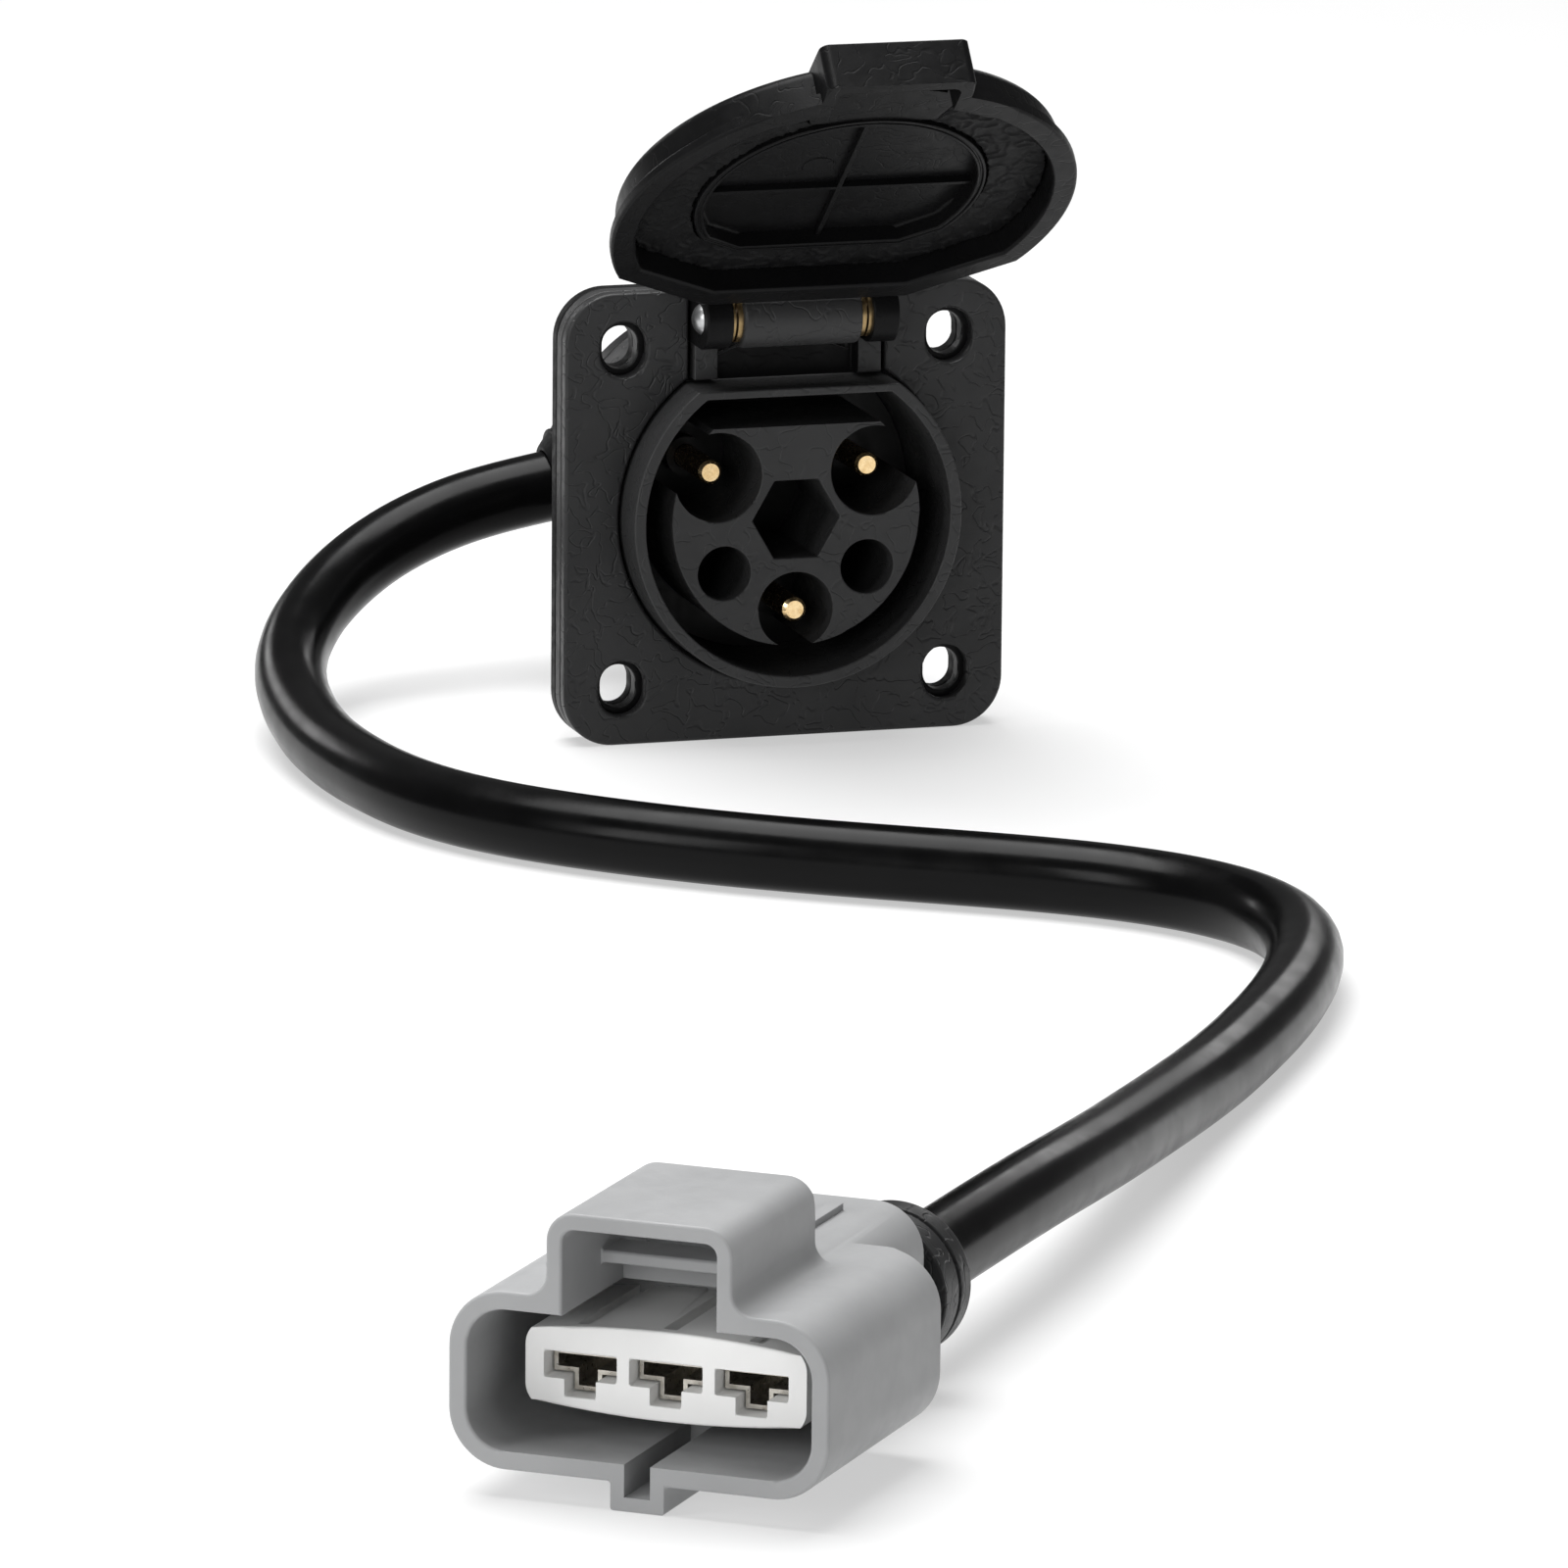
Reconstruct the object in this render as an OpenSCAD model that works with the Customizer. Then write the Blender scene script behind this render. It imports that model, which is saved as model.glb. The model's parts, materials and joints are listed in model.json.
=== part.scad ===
// Panel-mount charging inlet with a hinged lid and a lead to a three-way connector.
// Millimetres, +Z up, the socket faces -Y. The origin is the centre of the panel face,
// on the socket's axis. The lead and its connector lie level with the flange's lower edge.

/* [Flange] */
// Width of the flange
flange_w = 76; // [74:1:92]
// Height of the flange
flange_h = 76; // [76:1:92]
// Radius of the flange's corners
flange_corner_r = 8.5; // [5:0.5:10]
// Thickness of the front bezel
bezel_t = 2.7; // [2:0.1:4]
// Thickness of the socket body's mounting plate
plate_t = 2.7; // [2:0.1:4]
// Thickness of the rubber gasket behind the plate
gasket_t = 3; // [2:0.5:5]
// Distance between the left and right mounting slots
hole_pitch_x = 56; // [55:1:59]
// Distance between the upper and lower mounting slots
hole_pitch_z = 57; // [55:1:59]
// Width of a mounting slot
slot_w = 6; // [4:0.5:6.5]
// Height of a mounting slot
slot_len = 7.2; // [7:0.2:9]
// Extra width and height of the bezel's hole round a slot, for the screw head
head_clear = 2; // [1:0.5:3]

/* [Socket] */
// Outer radius of the collar round the socket
collar_r = 28.2; // [28:0.1:29]
// Wall of the collar and of the barrel behind it
collar_wall = 2; // [1.6:0.1:2.2]
// Height of the collar's flat above the axis
collar_flat = 22.3; // [21.5:0.1:22.6]
// Distance that the collar stands proud of the bezel
collar_proud = 7.6; // [5:0.1:8]
// Depth of the socket's well below the collar's rim
well_depth = 24; // [22:1:28]
// Length of the barrel behind the panel face
barrel_len = 30; // [28:1:40]
// Gap between the bezel and the collar
collar_gap = 0.5; // [0.3:0.1:1]

/* [Contact block] */
// Radius of the contact block
block_r = 21.3; // [21:0.1:21.6]
// Height of the block's flat above the axis
block_flat = 15.7; // [14:0.1:17]
// Distance of the block's face behind the collar's rim
block_recess = 1.5; // [0.5:0.1:3]
// Thickness of the disc behind the block that carries the pins
base_t = 6; // [4:0.5:7]
// Hexagonal hole, across its flats
hex_af = 13; // [10:0.1:13.4]
// Sideways distance of a power pin from the axis
power_x = 13.5; // [13.2:0.1:14]
// Height of a power pin above the axis
power_z = 7.6; // [7.2:0.1:8]
// Radius of a power pin's pocket
power_pocket_r = 7.5; // [6.5:0.1:7.7]
// Depth of the earth pin below the axis
earth_drop = 15.4; // [15.2:0.1:15.6]
// Radius of the earth pin's pocket
earth_pocket_r = 6.4; // [6.2:0.1:6.6]
// Sideways distance of a pilot hole from the axis
pilot_x = 12.3; // [12:0.1:12.8]
// Depth of a pilot hole below the axis
pilot_drop = 8.6; // [8.4:0.1:9]
// Radius of a pilot hole
pilot_r = 4.5; // [3.5:0.1:4.6]

/* [Pins] */
// Diameter of a contact pin
pin_d = 4; // [3:0.1:4.6]
// Chamfer round a pin's tip
pin_chamfer = 0.5; // [0.2:0.1:0.8]
// Distance of a power pin's tip behind the block's face
power_tip_recess = 4.5; // [2:0.5:8]
// Distance of the earth pin's tip behind the block's face
earth_tip_recess = 0.5; // [0.2:0.1:2]
// Diameter of the insulating boss at a pin's root
boss_d = 6.6; // [6:0.1:7.4]
// Height of the insulating boss
boss_h = 3.5; // [1:0.5:6]
// Diameter of a pin's solder cup
cup_d = 5; // [4.8:0.1:5.6]
// Length of a pin behind its carrier
tail_len = 9; // [8:0.5:10]

/* [Hinge] */
// Height of the hinge's axis above the socket's axis
hinge_z = 34; // [33.8:0.1:34.6]
// Distance of the hinge's axis in front of the bezel
hinge_out = 4.8; // [4.5:0.1:5.4]
// Radius of the hinge's knuckles
knuckle_r = 5; // [4.5:0.1:5]
// Width of the lid's knuckle
knuckle_w = 20.4; // [18:0.2:22]
// Room between the lid's knuckle and an ear
ear_gap = 1.8; // [1.6:0.1:2.2]
// Width of an ear
ear_w = 4.5; // [4:0.1:5]
// Diameter of the hinge pin
hinge_pin_d = 3.2; // [2.5:0.1:3.6]
// Diameter of the hinge pin's heads
pin_head_d = 5; // [4.4:0.1:6]
// Height of the hinge pin's domed heads
pin_head_h = 1.3; // [0.8:0.1:1.6]
// Thickness of a hinge bush's flange
bush_flange_t = 0.8; // [0.6:0.1:0.9]
// Thickness of a friction washer
washer_t = 0.6; // [0.4:0.1:0.6]

/* [Lid] */
// Overhang of the lid's lip beyond the flange's sides
lid_over = 0.6; // [0:0.1:1]
// Height of the lid from the lip to the outer face
lid_h = 8; // [7.6:0.1:10]
// Thickness of the lip
lip_t = 2; // [1.5:0.1:2.5]
// Overhang of the lip round the skirt
lip_w = 1.8; // [1:0.1:2.2]
// Wall of the lid's skirt
lid_wall = 2.4; // [1.8:0.1:2.6]
// Height of the lid's hinge-side flat above its centre
lid_flat = 28; // [27.6:0.1:28.2]
// Half of the flat's length
lid_flat_half = 17.6; // [17:0.1:18]
// Slope of the corners beside the flat
lid_corner_angle = 31; // [28:1:34]
// Gap between the shut lid's lip and the bezel
lip_gap = 4; // [3.6:0.1:4.6]
// Depth of the lid's inner face below the lip
lid_depth = 5.1; // [5:0.1:5.3]
// Width of the finger tab
tab_w = 25; // [22:1:28]
// Distance that the finger tab stands out from the lip
tab_out = 3; // [2:0.1:4]
// Wall round the finger tab's pocket
tab_wall = 2.1; // [1.5:0.1:2.5]
// Radius of the plug ring inside the lid
ring_r = 24.2; // [23.5:0.1:24.4]
// Wall of the plug ring
ring_wall = 1.6; // [1.2:0.1:2]
// Height of the plug ring's flat above the lid's centre
ring_flat = 16.7; // [16:0.1:17.5]
// Half of the plug ring's flat
ring_flat_half = 14; // [13:0.1:15]
// Height of the plug ring above the lid's inner face
ring_h = 1.6; // [1.2:0.1:2]
// Depth of the recess inside the plug ring
recess_d = 1.2; // [0.8:0.1:1.4]
// Width of the crossing ribs in the recess
rib_w = 0.8; // [0.6:0.1:1.4]
// Thickness of the lid's seal
seal_t = 1.2; // [0.8:0.1:1.2]
// Angle that the lid stands open
open_angle = 130; // [100:1:135]

/* [Rear cover] */
// Thickness of the rear cover's disc
cover_t = 4; // [3:0.5:6]
// Radius of the rear cover's dome
dome_r = 19; // [18.5:0.1:19.5]
// Length of the dome behind the disc
dome_len = 29; // [28:0.5:34]
// Wall of the dome
dome_wall = 2.5; // [2:0.1:3]
// Rounding of the dome's end
dome_round = 7; // [3:0.5:9]
// Distance of the cable outlet behind the panel face
outlet_y = 51.6; // [51.4:0.1:51.8]
// Distance of the outlet's axis below the socket's axis
outlet_drop = 1.8; // [1.6:0.1:2]
// Slope of the outlet below the horizontal
outlet_tilt = 10; // [9:0.5:11]
// Outer radius of the outlet's boss
outlet_r = 10; // [9.6:0.1:10.4]
// Distance of the boss's end from the dome's axis
outlet_len = 21; // [20:0.5:22]
// Diameter of a cover screw
screw_d = 3; // [2.5:0.1:3]
// Distance of a cover screw from the axis
screw_circle_r = 23.2; // [23:0.1:23.6]

/* [Cable] */
// Diameter of the cable
cable_d = 12; // [10:0.5:12.5]
// Wall of the rubber bush round the cable
cable_bush_wall = 2; // [1.5:0.1:2]
// Diameter of one core of the cable
core_d = 3; // [2:0.1:3.2]

/* [Connector] */
// Width of the connector's shroud
conn_w = 54; // [52:1:58]
// Height of the connector's shroud
conn_h = 24.4; // [23.5:0.1:26]
// Corner radius of the shroud
conn_r = 8; // [6:0.5:9]
// Wall of the shroud
conn_wall = 2.6; // [2:0.1:2.8]
// Length of the shroud's body
conn_len = 42; // [41:1:46]
// Depth of the shroud's mouth
mouth_depth = 34; // [33:0.5:36]
// Width of the latch hood
hood_w = 26.4; // [25:0.2:28]
// Height of the latch hood above the body
hood_h = 11.5; // [11:0.1:13]
// Length of the latch hood
hood_len = 30.5; // [28:0.5:32]
// Width of the keyway under the shroud
key_w = 7.7; // [7:0.1:9]
// Height of the keyway under the shroud
key_h = 3.9; // [3.5:0.1:5]
// Length of the keyway
key_len = 26; // [20:1:30]
// Width of the rear block that takes the cable
rear_w = 34; // [33.5:0.5:36]
// Length of the rear block behind the body
rear_len = 20; // [18:1:24]
// Width of the white terminal holder
holder_w = 40; // [39:0.5:42]
// Height of the terminal holder
holder_h = 12.4; // [12:0.1:13]
// Distance of the holder's face behind the mouth
holder_recess = 10; // [6:0.5:12]
// Distance between neighbouring terminals
terminal_pitch = 12.2; // [11.6:0.1:12.4]
// Width of a terminal's aperture
aperture_w = 10.4; // [9.6:0.1:10.6]
// Height of a terminal's aperture
aperture_h = 3.6; // [3.2:0.1:4]
// Radius of the cable ring
cable_ring_r = 10.9; // [10:0.1:11.5]
// Length of the cable ring
cable_ring_len = 10.5; // [9:0.5:14]
// Distance of the cable ring behind the rear block
cable_ring_gap = 3.5; // [2:0.5:5]

/* [Hidden] */
$fn = 72;

// Working gaps: a loose fit, a pressed fit, a running shaft and an overlap for clean cuts
fit = 0.2;
press = 0.05;
run = 0.04;
eps = 0.01;
big = 100;

// Colours as the photo shows them
charcoal = "#303133";
black = "#17181a";
rubber = "#202123";
brass = "#d9b26a";
steel = "#c9cbcd";
tin = "#a6a49d";
grey = "#9c9ea0";
white = "#e6e6e4";
copper = "#b9733c";

// Planes across the socket, from the front to the back
face_y = -(bezel_t + plate_t + gasket_t);
plate_y = face_y + bezel_t;
rim_y = face_y - collar_proud;
well_y = rim_y + well_depth;
block_y = rim_y + block_recess;
base_y = well_y + base_t;
cover_y = barrel_len + cover_t;
floor_z = -flange_h / 2;

// Socket and contacts
well_r = collar_r - collar_wall;
flat_wall = 1.4;
well_flat = collar_flat - flat_wall;
pin_r = pin_d / 2;
cup_r = cup_d / 2;
cup_bore_r = core_d / 2 + press;
cup_depth = 6;
tail_collar_r = 3;
tail_collar_t = 2;

// Hinge
ear_room = 0.4;
hinge_y = face_y - hinge_out;
ear_x0 = knuckle_w / 2 + ear_gap;
ear_x1 = ear_x0 + ear_w;
notch_w = 2 * (ear_x1 + ear_room);
ear_top = 3.4;
foot_w = ear_w - ear_room;
foot_h = 6;
foot_proud = 0.6;
foot_margin = 0.25;
foot_rise = 0.5;
latch_room = 0.7;
latch_w = 2 * (ear_x0 - latch_room);
latch_z0 = collar_flat + latch_room;
latch_h = 9;
latch_depth = 1.2;
hinge_pin_r = hinge_pin_d / 2;
pin_head_r = pin_head_d / 2;
bush_wall = 1;
bush_r = hinge_pin_r + bush_wall;
bush_flange_r = bush_r + 1.4;
bush_len = 6;

// Lid, drawn shut
lid_r = flange_w / 2 + lid_over;
lip_y = face_y - lip_gap;
lid_top_y = lip_y - lid_h;
lid_face_y = lip_y - lid_depth;
crown_round = 2;
cavity_inset = lip_w + lid_wall;
arm_top = knuckle_r - 0.4;
land_over = 1;
ring_line_at = 0.6;
ring_line_w = 0.4;
ring_line_d = 0.3;
tab_r = 1.6;
tab_floor = 2.2;
tab_pocket_depth = lid_h - tab_floor;
land_half = 13.4;
land_in_half = 10.6;
land_z0 = 30;
land_z1 = ring_r - ring_wall / 2;
ejector_r = 2.6;
ejector_h = 0.2;
ejector_spots = [[-4.7, -5.7], [3.3, 2.5]];

// Rear cover and outlet
dome_y = cover_y + dome_len;
screw_r = screw_d / 2;
screw_head_r = screw_d;
screw_head_h = 2;
screw_len = 15;
screw_boss_r = 3.25;
screw_boss_y = base_y + 1;
screw_angles = [45, 135, 225, 315];
cable_r = cable_d / 2;
bush_bore_r = cable_r + press;
bush_body_r = cable_r + cable_bush_wall;
bush_head_r = bush_body_r + 1.4;
bush_in = 12;
bush_nose_step = 0.6;
bush_tip_wall = 0.8;
bush_head_t = 1.2;
bush_nose = 2;
outlet_in = 11;
cord_in = 9;

// Cores inside the rear cover, from the cable's end to the solder cups
core_r = core_d / 2;
core_spread = 2.6;
cup_mouth_y = base_y + tail_len;
core_turn = 4;
core_straight = 1.5;
core_lead = 3;
core_steps = 4;
core_sides = 10;
cup_end_room = 1;

// Connector, in its own frame: X across, Y from the mouth to the cable, Z above the floor
conn_at = [-158, -464];
conn_yaw = 52;
body_z = key_h;
mid_z = body_z + conn_h / 2;
body_top = body_z + conn_h;
hood_top = body_top + hood_h;
hood_r = 4;
hood_wall = 2.3;
hood_fillet = 3;
key_wall = 2;
bar_y0 = 14;
bar_len = 7;
bar_t = 1.8;
bar_z = body_top + 1.4;
rear_y = conn_len + rear_len;
rear_r = 7;
rear_rise = 1;
rear_start = hood_len - 4;
rear_wall = 2.2;
rear_rib_w = 2;
rear_rib_x = [2.5, 7];
rear_rib_h = 2;
rear_rib_end = 12.5;
cable_x = 8;
cable_z = 15;
chamber_y = mouth_depth + 6;
chamber_end = rear_y - 6;
ring_spigot_r = cable_r + 1.2;
ring_spigot_len = 6;
ring_groove = 0.5;
ring_groove_w = 1;
cable_end_y = rear_y - ring_spigot_len + cup_end_room;
ring_edge = 1.2;
ring_groove_at = 5;
ring_y = rear_y + cable_ring_gap;
hood_mouth_y = mouth_depth - 12;
wire_hole_r = 2.8;
wire_hole_lap = 0.5;

// Terminal holder and terminals
holder_z = mid_z;
holder_r = 3.6;
holder_bow = 150;
bow_fn = 720;
slot_top = 1.9;
notch_half = 2.25;
notch_h = 2.4;
top_groove_w = 2;
top_groove_d = 1.6;
holder_lip = 1.5;
terminal_gap = 0.3;
terminal_y = holder_recess + 3;
terminal_len = 17;
terminal_wall = 0.6;
crimp_r = 2.2;
crimp_len = 8;
crimp_floor = 2;
neck_w = 3;
neck_t = 2;
lead_turn = 2.5;
lead_straight = 0.8;
terminal_x = [-terminal_pitch, 0, terminal_pitch];

// The cable's route: control points with heights above the floor, chosen by eye from the photo
route = [[-56, 46, 24], [-70, 34, 17], [-79, 17, 11], [-82, -3, 7.5], [-83, -23, 6],
    [-82, -43, 6], [-79, -63, 6], [-71, -81, 6], [-58, -97, 6], [-43, -111, 6],
    [-27, -123, 6], [-10, -134, 6], [6, -145, 6], [20, -159, 6], [28, -177, 6],
    [27, -197, 6], [20, -216, 6], [11, -234, 6], [1, -251, 6], [-11, -270, 6],
    [-24, -290, 7], [-36.5, -310.5, 9], [-49, -331, 11], [-61.5, -350.5, 13],
    [-73, -367.5, 14.5]];
route_steps = 2;
cord_sides = 12;
out_knots = [25, 40];
in_knots = [19, 38];
out_dir = [-cos(outlet_tilt), 0, -sin(outlet_tilt)];
out_at = [0, outlet_y, -outlet_drop];
in_dir = [cos(conn_yaw), sin(conn_yaw), 0];
in_side = [sin(conn_yaw), -cos(conn_yaw), 0];
conn_axis = [conn_at[0], conn_at[1], floor_z + cable_z] + cable_x * in_side;
lead_out = [for (s = [cord_in, out_knots[0], out_knots[1]]) out_at + out_dir * s];
lead_in = [for (s = [rear_y + in_knots[1], rear_y + in_knots[0], cable_end_y]) conn_axis + in_dir * s];
guide = concat(lead_out, [for (p = route) [p[0], p[1], p[2] + floor_z]], lead_in);

// A flat profile in X and Z, from one depth to another
module slab(y0, y1) {
    translate([0, y1, 0]) rotate([90, 0, 0]) linear_extrude(y1 - y0) children();
}

// A flat profile in Y and Z, from one side to another
module across(x0, x1) {
    translate([x0, 0, 0]) rotate([90, 0, 90]) linear_extrude(x1 - x0) children();
}

// A profile of radius and depth, turned round the socket's axis
module turned() {
    rotate([-90, 0, 0]) rotate_extrude() children();
}

// A profile of radius and length, turned round the hinge's axis
module turned_on_hinge() {
    translate([0, hinge_y, hinge_z]) rotate([0, 90, 0]) rotate_extrude() children();
}

// Mirror image on the other side of the socket
module both_sides() {
    children();
    mirror([1, 0, 0]) children();
}

module rounded(w, h, r) {
    square([w - 2 * r, h], center = true);
    square([w, h - 2 * r], center = true);
    for (x = [-1, 1], z = [-1, 1]) translate([x * (w / 2 - r), z * (h / 2 - r)]) circle(r);
}

// An upright slot with round ends
module obround(w, h) {
    square([w, h - w], center = true);
    for (z = [-1, 1]) translate([0, z * (h - w) / 2]) circle(w / 2);
}

module flange_outline() {
    rounded(flange_w, flange_h, flange_corner_r);
}

module mounting_slots(extra) {
    for (x = [-1, 1], z = [-1, 1])
        translate([x * hole_pitch_x / 2, z * hole_pitch_z / 2]) obround(slot_w + extra, slot_len + extra);
}

// A disc with a flat at the top
module flat_disc(r, flat) {
    difference() {
        circle(r);
        translate([-big / 2, flat]) square(big);
    }
}

// A disc with a flat at the top and sloping corners beside it
module cornered_disc(r, flat, half, angle) {
    fall = (big - half) * tan(angle);
    intersection() {
        circle(r);
        polygon([[-big, -big], [big, -big], [big, flat - fall], [half, flat], [-half, flat],
            [-big, flat - fall]]);
    }
}

module front_bezel() {
    color(charcoal) slab(face_y, plate_y) difference() {
        flange_outline();
        circle(collar_r + collar_gap);
        translate([-notch_w / 2, 0]) square([notch_w, flange_h]);
        mounting_slots(head_clear);
    }
}

// A bore along the hinge's axis
module hinge_bore(r) {
    translate([-big / 2, hinge_y, hinge_z]) rotate([0, 90, 0]) cylinder(r = r, h = big);
}

// The low pyramid on the face of the block under an ear
module foot_face() {
    x0 = ear_x0 + foot_margin;
    x1 = ear_x0 + foot_w - foot_margin;
    z1 = hinge_z - knuckle_r - foot_margin;
    z0 = hinge_z - knuckle_r - foot_h + foot_margin;
    y0 = face_y - foot_proud + eps;
    intersection() {
        translate([0, 0, z0]) linear_extrude(z1 - z0)
            polygon([[x0, y0], [x1, y0], [(x0 + x1) / 2, y0 - foot_rise]]);
        across(x0, x1) polygon([[y0, z0], [y0, z1], [y0 - foot_rise, (z0 + z1) / 2]]);
    }
}

// One ear of the hinge, with the short block under it
module hinge_ear() {
    foot_face();
    across(ear_x0, ear_x1) {
        translate([hinge_y, hinge_z]) circle(knuckle_r);
        translate([hinge_y, hinge_z - knuckle_r]) square([plate_y - hinge_y, knuckle_r + ear_top]);
    }
    across(ear_x0, ear_x0 + foot_w)
        translate([face_y - foot_proud, hinge_z - knuckle_r - foot_h])
            square([plate_y - face_y + foot_proud, foot_h + eps]);
}

module socket_body() {
    color(charcoal) difference() {
        union() {
            slab(plate_y, plate_y + plate_t) flange_outline();
            slab(rim_y, plate_y + plate_t) flat_disc(collar_r, collar_flat);
            slab(plate_y, barrel_len) circle(collar_r);
            both_sides() hinge_ear();
        }
        slab(rim_y - eps, well_y + eps) flat_disc(well_r, well_flat);
        difference() {
            slab(well_y, barrel_len + eps) circle(well_r);
            screw_posts(screw_boss_y, barrel_len + 2 * eps, screw_boss_r);
        }
        screw_posts(barrel_len - screw_len + cover_t, barrel_len + eps, screw_r + press);
        slab(plate_y - eps, plate_y + latch_depth) difference() {
            translate([-latch_w / 2, latch_z0]) square([latch_w, latch_h]);
            circle(collar_r + collar_gap);
        }
        slab(plate_y - eps, plate_y + plate_t + eps) mounting_slots(0);
        hinge_bore(hinge_pin_r + press);
    }
}

// Round posts on the cover screws' circle
module screw_posts(y0, y1, r) {
    for (a = screw_angles)
        rotate([0, a, 0]) slab(y0, y1) translate([screw_circle_r, 0]) circle(r);
}

module panel_gasket() {
    color(rubber) slab(-gasket_t, 0) difference() {
        flange_outline();
        circle(collar_r + fit);
        mounting_slots(0);
    }
}

// Places of the three contacts on the block's face
module at_power(side) {
    translate([side * power_x, 0, power_z]) children();
}

module at_earth() {
    translate([0, 0, -earth_drop]) children();
}

module at_pins() {
    for (side = [-1, 1]) at_power(side) children();
    at_earth() children();
}

// The round block: its pockets and holes run through to the carrier
module contact_block() {
    color(charcoal) slab(block_y, well_y) difference() {
        flat_disc(block_r, block_flat);
        circle(d = hex_af / cos(30), $fn = 6);
        translate([0, -earth_drop]) circle(earth_pocket_r);
        for (side = [-1, 1]) {
            translate([side * power_x, power_z]) circle(power_pocket_r);
            translate([side * pilot_x, -pilot_drop]) circle(pilot_r);
        }
    }
}

// The disc behind the block, with an insulating boss round each pin
module pin_carrier() {
    color(black) difference() {
        union() {
            slab(well_y, base_y) circle(well_r - fit);
            at_pins() slab(well_y - boss_h, base_y) circle(boss_d / 2);
        }
        at_pins() slab(well_y - boss_h - eps, base_y + eps) circle(pin_r + press);
    }
}

// A turned contact pin with a chamfered tip, a collar and a solder cup
module contact_pin(tip_y) {
    end_y = base_y + tail_len;
    color(brass) turned() polygon([[0, tip_y], [pin_r - pin_chamfer, tip_y], [pin_r, tip_y + pin_chamfer],
        [pin_r, base_y], [tail_collar_r, base_y], [tail_collar_r, base_y + tail_collar_t],
        [cup_r, base_y + tail_collar_t], [cup_r, end_y], [cup_bore_r, end_y],
        [cup_bore_r, end_y - cup_depth], [0, end_y - cup_depth]]);
}

module power_pin_left() {
    at_power(-1) contact_pin(block_y + power_tip_recess);
}

module power_pin_right() {
    at_power(1) contact_pin(block_y + power_tip_recess);
}

module earth_pin() {
    at_earth() contact_pin(block_y + earth_tip_recess);
}

// The lid's pieces are drawn shut and turned open round the hinge
module opened() {
    translate([0, hinge_y, hinge_z]) rotate([-open_angle, 0, 0])
        translate([0, -hinge_y, -hinge_z]) children();
}

// The lid's outline, drawn in by a distance
module lid_outline(inset) {
    half = lid_flat_half - inset * tan(lid_corner_angle / 2);
    cornered_disc(lid_r - inset, lid_flat - inset, half, lid_corner_angle);
}

module ring_outline(inset) {
    half = ring_flat_half - inset * tan(lid_corner_angle / 2);
    cornered_disc(ring_r - inset, ring_flat - inset, half, lid_corner_angle);
}

// The lid's skirt and outer face, with a rounded outer edge
module lid_crown() {
    crown_r = lid_r - lip_w;
    crown_h = lid_h - lip_t / 2;
    intersection() {
        slab(lid_top_y, lip_y) lid_outline(lip_w);
        translate([0, lip_y - lip_t / 2, 0]) mirror([0, 1, 0]) turned() {
            square([crown_r, crown_h - crown_round]);
            square([crown_r - crown_round, crown_h]);
            translate([crown_r - crown_round, crown_h - crown_round]) circle(crown_round);
        }
    }
}

module tab_outline(inset) {
    reach = lid_r + tab_out - inset;
    w = tab_w - 2 * inset;
    translate([0, -reach + reach / 4]) rounded(w, reach / 2, tab_r);
}

// The flat land between the tab's pocket and the plug ring
module land_outline(grow) {
    polygon([[-land_in_half - grow, -land_z1 + grow], [land_in_half + grow, -land_z1 + grow],
        [land_half + grow, -land_z0], [land_half + grow, -lid_r + cavity_inset - land_over],
        [-land_half - grow, -lid_r + cavity_inset - land_over], [-land_half - grow, -land_z0]]);
}

module lid() {
    color(charcoal) opened() difference() {
        union() {
            slab(lip_y - lip_t, lip_y) lid_outline(0);
            lid_crown();
            slab(lid_top_y, lip_y) difference() {
                tab_outline(0);
                circle(lid_r - cavity_inset);
            }
            lid_arm();
        }
        difference() {
            slab(lid_face_y, lip_y + eps) lid_outline(cavity_inset);
            slab(lid_face_y - eps, lid_face_y + ring_h) difference() {
                ring_outline(0);
                ring_outline(ring_wall);
            }
            slab(lid_face_y - eps, lid_face_y + seal_t) intersection() {
                land_outline(0);
                lid_outline(cavity_inset - eps);
            }
        }
        slab(lid_face_y - recess_d, lid_face_y + eps) difference() {
            ring_outline(ring_wall);
            square([big, rib_w], center = true);
            square([rib_w, big], center = true);
            for (p = ejector_spots) translate(p) circle(ejector_r);
        }
        slab(lid_face_y - recess_d + ejector_h, lid_face_y + eps)
            for (p = ejector_spots) translate(p) circle(ejector_r);
        slab(lid_face_y + ring_h - ring_line_d, lid_face_y + ring_h + eps) difference() {
            ring_outline(ring_line_at);
            ring_outline(ring_line_at + ring_line_w);
        }
        slab(lip_y - tab_pocket_depth, lip_y + eps) difference() {
            tab_outline(tab_wall);
            circle(lid_r - cavity_inset - land_over);
        }
        hinge_bore(bush_r + press);
    }
}

// The lid's knuckle and the arm that joins it to the skirt
module lid_arm() {
    across(-knuckle_w / 2, knuckle_w / 2) {
        translate([hinge_y, hinge_z]) circle(knuckle_r);
        translate([hinge_y - arm_top, lid_flat - cavity_inset])
            square([arm_top, hinge_z - lid_flat + cavity_inset]);
    }
}

module lid_seal() {
    color(rubber) opened() slab(lid_face_y, lid_face_y + seal_t) difference() {
        lid_outline(cavity_inset + fit);
        ring_outline(-fit);
        land_outline(fit);
    }
}

module hinge_pin() {
    color(steel) turned_on_hinge() {
        translate([0, -ear_x1]) square([hinge_pin_r, 2 * ear_x1]);
        pin_head_profile();
        mirror([0, 1]) pin_head_profile();
    }
}

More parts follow.
